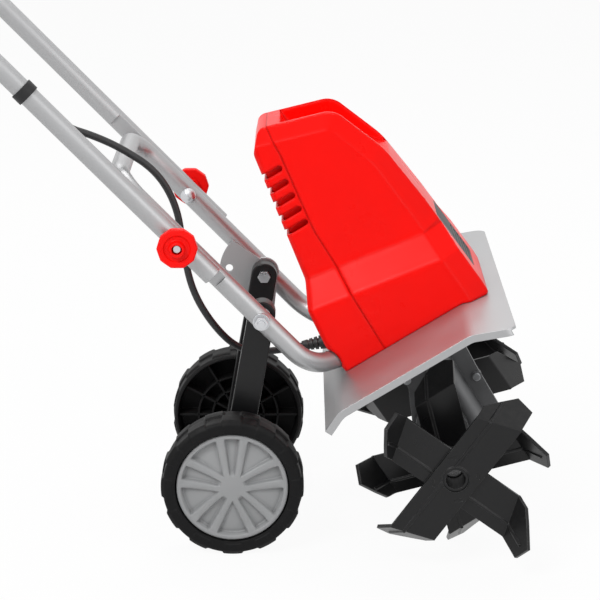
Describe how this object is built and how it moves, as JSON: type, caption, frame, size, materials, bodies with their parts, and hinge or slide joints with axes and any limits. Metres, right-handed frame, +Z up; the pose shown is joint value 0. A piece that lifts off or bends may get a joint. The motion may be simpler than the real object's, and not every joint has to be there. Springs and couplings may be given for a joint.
{
  "type": "electric tiller",
  "caption": "Electric garden tiller: red motor cover on a silver deck, bent-tine rotor below, wheels on a swinging arm and a folding tubular handle.",
  "frame": {"origin": "on the ground, under the middle of the whole machine", "axes": "+X forward to the tines, +Y to the operator's left, +Z up"},
  "size_m": [1.0566, 0.4356, 0.963],
  "materials": {
    "silver": "satin",
    "red_cover": "gloss",
    "red_knob": "satin",
    "black_plastic": "satin",
    "black_paint": "semi-gloss",
    "wheel_black": "matt",
    "cap_grey": "satin",
    "zinc": "satin",
    "steel": "machined",
    "cast_aluminium": "cast",
    "copper": "satin",
    "iron": "laminated",
    "rubber": "matt",
    "foam": "matt foam"
  },
  "bodies": {
    "chassis": {"deck": "silver", "rear_cover": "red_cover", "front_cover": "red_cover", "front_grille": "black_plastic", "cover_screws": "zinc", "lower_handle": "silver", "deck_bolts": "zinc", "handle_bolts": "zinc", "pivot_bolts": "zinc", "pivot_nuts": "zinc", "lock_plate": "silver", "motor_frame": "cast_aluminium", "motor_end_cap": "cast_aluminium", "stator_core": "iron", "field_coils": "copper", "brush_holders": "black_plastic", "ball_bearings": "steel", "gearcase_left": "cast_aluminium", "gearcase_right": "cast_aluminium", "gearcase_screws": "zinc", "shaft_seals": "rubber", "cable_gland": "rubber", "motor_lead": "rubber"},
    "armature": {"motor_shaft": "steel", "armature_core": "iron", "commutator": "copper", "cooling_fan": "black_plastic"},
    "tine_rotor": {"tine_shaft": "steel", "worm_wheel": "copper", "tine_hubs": "black_paint", "hub_pins": "zinc", "left_outer_tine": "black_paint", "left_inner_tine": "black_paint", "right_inner_tine": "black_paint", "right_outer_tine": "black_paint"},
    "wheel_arm": {"left_leg": "black_paint", "right_leg": "black_paint", "wheel_axle": "steel", "axle_nuts": "zinc", "lock_sleeve": "zinc", "lock_spring": "steel"},
    "lock_pin": {"lock_pin": "zinc"},
    "pull_ring": {"pull_ring": "zinc"},
    "left_wheel": {"left_wheel": "wheel_black", "left_hub_cap": "cap_grey"},
    "right_wheel": {"right_wheel": "wheel_black", "right_hub_cap": "cap_grey"},
    "upper_handle": {"upper_handle": "silver", "foam_grip": "foam", "switch_box_outer": "black_plastic", "switch_box_inner": "black_plastic", "switch_block": "black_plastic", "power_inlet": "black_plastic", "cable_clips": "black_plastic", "lever_bracket": "black_plastic", "handle_lead": "rubber"},
    "left_knob": {"left_knob": "red_knob"},
    "right_knob": {"right_knob": "red_knob"},
    "switch_lever": {"switch_lever": "zinc"},
    "safety_button": {"safety_button": "red_knob"}
  },
  "joints": [
    {"name": "tine_spin", "type": "hinge", "parent": "chassis", "child": "tine_rotor", "pos_m": [0.42124, 0, 0.10718], "axis": [0, 1, 0], "continuous": true},
    {"name": "armature_spin", "type": "hinge", "parent": "chassis", "child": "armature", "pos_m": [0.37402, 0, 0.24027], "axis": [-0.527, 0, 0.8499], "continuous": true},
    {"name": "arm_swing", "type": "hinge", "parent": "chassis", "child": "wheel_arm", "pos_m": [0.21152, 0, 0.263], "axis": [0, 1, 0], "range_deg": [0, 86]},
    {"name": "left_wheel_spin", "type": "hinge", "parent": "wheel_arm", "child": "left_wheel", "pos_m": [0.17882, 0.119, 0.079], "axis": [0, 1, 0], "continuous": true},
    {"name": "right_wheel_spin", "type": "hinge", "parent": "wheel_arm", "child": "right_wheel", "pos_m": [0.17882, -0.119, 0.079], "axis": [0, 1, 0], "continuous": true},
    {"name": "lock_slide", "type": "slide", "parent": "wheel_arm", "child": "lock_pin", "axis": [0, 1, 0], "range_m": [0, 0.008]},
    {"name": "ring_swing", "type": "hinge", "parent": "lock_pin", "child": "pull_ring", "pos_m": [0.20424, 0.05, 0.22204], "axis": [-1, 0, 0], "range_deg": [0, 80]},
    {"name": "handle_fold", "type": "hinge", "parent": "chassis", "child": "upper_handle", "pos_m": [0.12292, 0, 0.354], "axis": [0, 1, 0], "range_deg": [0, 142], "deforming": ["motor_lead"]},
    {"name": "left_knob_turn", "type": "hinge", "parent": "chassis", "child": "left_knob", "pos_m": [0.12292, 0.142, 0.354], "axis": [0, 1, 0], "continuous": true},
    {"name": "right_knob_turn", "type": "hinge", "parent": "chassis", "child": "right_knob", "pos_m": [0.12292, -0.142, 0.354], "axis": [0, 1, 0], "continuous": true},
    {"name": "lever_press", "type": "hinge", "parent": "upper_handle", "child": "switch_lever", "pos_m": [-0.34258, 0, 0.86938], "axis": [0, -1, 0], "range_deg": [0, 15], "stiffness_Nm_per_rad": 1.5, "springref_deg": -14.32},
    {"name": "button_press", "type": "slide", "parent": "upper_handle", "child": "safety_button", "axis": [-0.7165, 0, -0.6976], "range_m": [0, 0.005], "stiffness_N_per_m": 400, "springref_m": -0.002}
  ],
  "couplings": [
    {"joint": "armature_spin", "follows": "tine_spin", "ratio": 30}
  ]
}
